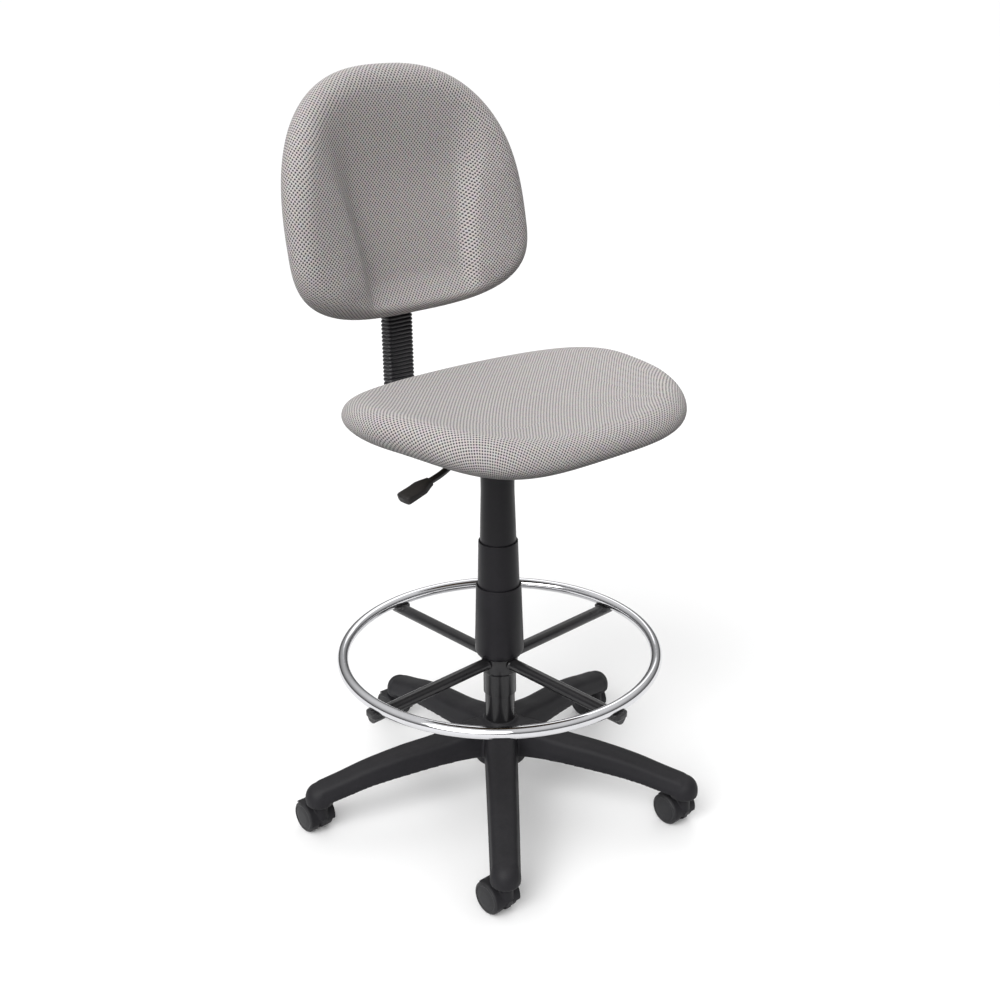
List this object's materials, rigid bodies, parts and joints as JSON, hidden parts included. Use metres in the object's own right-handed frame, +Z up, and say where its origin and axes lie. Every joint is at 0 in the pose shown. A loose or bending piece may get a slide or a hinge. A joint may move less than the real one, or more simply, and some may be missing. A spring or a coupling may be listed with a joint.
{
  "type": "drafting chair",
  "caption": "Tall drafting chair: star base on casters, covered gas lift, chrome foot ring, tweed seat, and tweed back on a boot-covered bar.",
  "frame": {"origin": "on the floor, under the middle of the whole chair's box in x and y; the gas column's axis is at x = -0.005 m, y = -0.035 m", "axes": "+Z up; the sitter faces -Y; +X is towards the sitter's left hand"},
  "size_m": [0.6092, 0.6146, 1.1303],
  "materials": {
    "base_nylon": "moulded glass-filled nylon, fine matte texture",
    "wheel_nylon": "moulded nylon, slightly glossier where it runs on the floor",
    "cover_plastic": "moulded polypropylene, satin",
    "grip_plastic": "moulded plastic, matte",
    "black_steel": "gloss black powder coat",
    "zinc_steel": "bright zinc plate",
    "chrome": "polished chrome plate",
    "boot_rubber": "moulded ribbed rubber",
    "plywood": "moulded plywood, unfinished",
    "tweed": "coarse grey tweed, light yarn dots over a dark ground"
  },
  "bodies": {
    "base": {"five_star_base": "base_nylon", "column_tube": "black_steel", "guide_bush": "base_nylon", "thrust_bearing": "zinc_steel", "retaining_clip": "zinc_steel", "cover_lower": "cover_plastic"},
    "cylinder_rod": {"piston_rod": "zinc_steel"},
    "seat": {"gas_tube": "black_steel", "cover_upper": "cover_plastic", "seat_mechanism": "black_steel", "seat_board": "plywood", "seat_cushion": "tweed", "seat_screw_1": "zinc_steel", "seat_screw_2": "zinc_steel", "seat_screw_3": "zinc_steel", "seat_screw_4": "zinc_steel"},
    "middle_cover": {"cover_middle": "cover_plastic"},
    "release_button": {"release_button": "zinc_steel"},
    "lever": {"lever_rod": "black_steel", "lever_paddle": "grip_plastic"},
    "foot_ring": {"foot_ring": "chrome", "footring_hub": "black_steel", "spoke_1": "black_steel", "spoke_2": "black_steel", "spoke_3": "black_steel", "spoke_4": "black_steel"},
    "footring_knob": {"footring_knob": "grip_plastic"},
    "back_bar": {"j_bar": "black_steel", "bar_boot": "boot_rubber"},
    "depth_knob": {"depth_knob": "grip_plastic"},
    "back": {"back_bracket": "black_steel", "back_board": "plywood", "back_cushion": "tweed", "back_shell": "cover_plastic"},
    "height_knob": {"height_knob": "grip_plastic"},
    "caster_1": {"caster_1_hood": "base_nylon", "caster_1_stem": "zinc_steel", "caster_1_axle": "zinc_steel"},
    "caster_1_left": {"caster_1_wheel_left": "wheel_nylon"},
    "caster_1_right": {"caster_1_wheel_right": "wheel_nylon"},
    "caster_2": {"caster_2_hood": "base_nylon", "caster_2_stem": "zinc_steel", "caster_2_axle": "zinc_steel"},
    "caster_2_left": {"caster_2_wheel_left": "wheel_nylon"},
    "caster_2_right": {"caster_2_wheel_right": "wheel_nylon"},
    "caster_3": {"caster_3_hood": "base_nylon", "caster_3_stem": "zinc_steel", "caster_3_axle": "zinc_steel"},
    "caster_3_left": {"caster_3_wheel_left": "wheel_nylon"},
    "caster_3_right": {"caster_3_wheel_right": "wheel_nylon"},
    "caster_4": {"caster_4_hood": "base_nylon", "caster_4_stem": "zinc_steel", "caster_4_axle": "zinc_steel"},
    "caster_4_left": {"caster_4_wheel_left": "wheel_nylon"},
    "caster_4_right": {"caster_4_wheel_right": "wheel_nylon"},
    "caster_5": {"caster_5_hood": "base_nylon", "caster_5_stem": "zinc_steel", "caster_5_axle": "zinc_steel"},
    "caster_5_left": {"caster_5_wheel_left": "wheel_nylon"},
    "caster_5_right": {"caster_5_wheel_right": "wheel_nylon"}
  },
  "joints": [
    {"name": "seat_swivel", "type": "hinge", "parent": "base", "child": "cylinder_rod", "pos_m": [-0.005, -0.035, 0.09], "axis": [0, 0, 1], "continuous": true},
    {"name": "seat_lift", "type": "slide", "parent": "cylinder_rod", "child": "seat", "axis": [0, 0, 1], "range_m": [0, 0.127]},
    {"name": "middle_cover_slide", "type": "slide", "parent": "base", "child": "middle_cover", "axis": [0, 0, 1], "range_m": [0, 0.0635]},
    {"name": "foot_ring_height", "type": "slide", "parent": "base", "child": "foot_ring", "axis": [0, 0, 1], "range_m": [-0.045, 0]},
    {"name": "footring_knob_turn", "type": "hinge", "parent": "foot_ring", "child": "footring_knob", "pos_m": [0.01534, -0.01295, 0.214], "axis": [0.6782, 0.7349, 0], "range_deg": [0, 360]},
    {"name": "lever_lift", "type": "hinge", "parent": "seat", "child": "lever", "pos_m": [-0.025, -0.035, 0.6273], "axis": [0, 1, 0], "range_deg": [0, 6], "stiffness_Nm_per_rad": 2, "springref_deg": -11.46},
    {"name": "button_press", "type": "slide", "parent": "seat", "child": "release_button", "axis": [0, 0, -1], "range_m": [0, 0.0022]},
    {"name": "back_depth", "type": "slide", "parent": "seat", "child": "back_bar", "axis": [0, 1, 0], "range_m": [-0.03, 0.03]},
    {"name": "depth_knob_turn", "type": "hinge", "parent": "seat", "child": "depth_knob", "pos_m": [-0.005, 0.0655, 0.6], "axis": [0, 0, -1], "range_deg": [0, 360]},
    {"name": "back_height", "type": "slide", "parent": "back_bar", "child": "back", "axis": [0, 0.184, 0.9829], "range_m": [-0.025, 0.025]},
    {"name": "height_knob_turn", "type": "hinge", "parent": "back", "child": "height_knob", "pos_m": [-0.005, 0.21772, 0.85663], "axis": [0, 0.9829, -0.184], "range_deg": [0, 360]},
    {"name": "caster_1_swivel", "type": "hinge", "parent": "base", "child": "caster_1", "pos_m": [-0.1933, -0.26506, 0.06], "axis": [0, 0, 1], "continuous": true},
    {"name": "caster_1_left_spin", "type": "hinge", "parent": "caster_1", "child": "caster_1_left", "pos_m": [-0.1933, -0.24486, 0.025], "axis": [1, 0, 0], "continuous": true},
    {"name": "caster_1_right_spin", "type": "hinge", "parent": "caster_1", "child": "caster_1_right", "pos_m": [-0.1933, -0.24486, 0.025], "axis": [1, 0, 0], "continuous": true},
    {"name": "caster_2_swivel", "type": "hinge", "parent": "base", "child": "caster_2", "pos_m": [0.15561, -0.28518, 0.06], "axis": [0, 0, 1], "continuous": true},
    {"name": "caster_2_left_spin", "type": "hinge", "parent": "caster_2", "child": "caster_2_left", "pos_m": [0.15561, -0.26498, 0.025], "axis": [1, 0, 0], "continuous": true},
    {"name": "caster_2_right_spin", "type": "hinge", "parent": "caster_2", "child": "caster_2_right", "pos_m": [0.15561, -0.26498, 0.025], "axis": [1, 0, 0], "continuous": true},
    {"name": "caster_3_swivel", "type": "hinge", "parent": "base", "child": "caster_3", "pos_m": [0.28257, 0.04044, 0.06], "axis": [0, 0, 1], "continuous": true},
    {"name": "caster_3_left_spin", "type": "hinge", "parent": "caster_3", "child": "caster_3_left", "pos_m": [0.28257, 0.06064, 0.025], "axis": [1, 0, 0], "continuous": true},
    {"name": "caster_3_right_spin", "type": "hinge", "parent": "caster_3", "child": "caster_3_right", "pos_m": [0.28257, 0.06064, 0.025], "axis": [1, 0, 0], "continuous": true},
    {"name": "caster_4_swivel", "type": "hinge", "parent": "base", "child": "caster_4", "pos_m": [0.01211, 0.26181, 0.06], "axis": [0, 0, 1], "continuous": true},
    {"name": "caster_4_left_spin", "type": "hinge", "parent": "caster_4", "child": "caster_4_left", "pos_m": [0.01211, 0.28201, 0.025], "axis": [1, 0, 0], "continuous": true},
    {"name": "caster_4_right_spin", "type": "hinge", "parent": "caster_4", "child": "caster_4_right", "pos_m": [0.01211, 0.28201, 0.025], "axis": [1, 0, 0], "continuous": true},
    {"name": "caster_5_swivel", "type": "hinge", "parent": "base", "child": "caster_5", "pos_m": [-0.28199, 0.07299, 0.06], "axis": [0, 0, 1], "continuous": true},
    {"name": "caster_5_left_spin", "type": "hinge", "parent": "caster_5", "child": "caster_5_left", "pos_m": [-0.28199, 0.09319, 0.025], "axis": [1, 0, 0], "continuous": true},
    {"name": "caster_5_right_spin", "type": "hinge", "parent": "caster_5", "child": "caster_5_right", "pos_m": [-0.28199, 0.09319, 0.025], "axis": [1, 0, 0], "continuous": true}
  ],
  "couplings": [
    {"joint": "middle_cover_slide", "follows": "seat_lift", "ratio": 0.5},
    {"joint": "button_press", "follows": "lever_lift", "m_per_rad": 0.02}
  ]
}
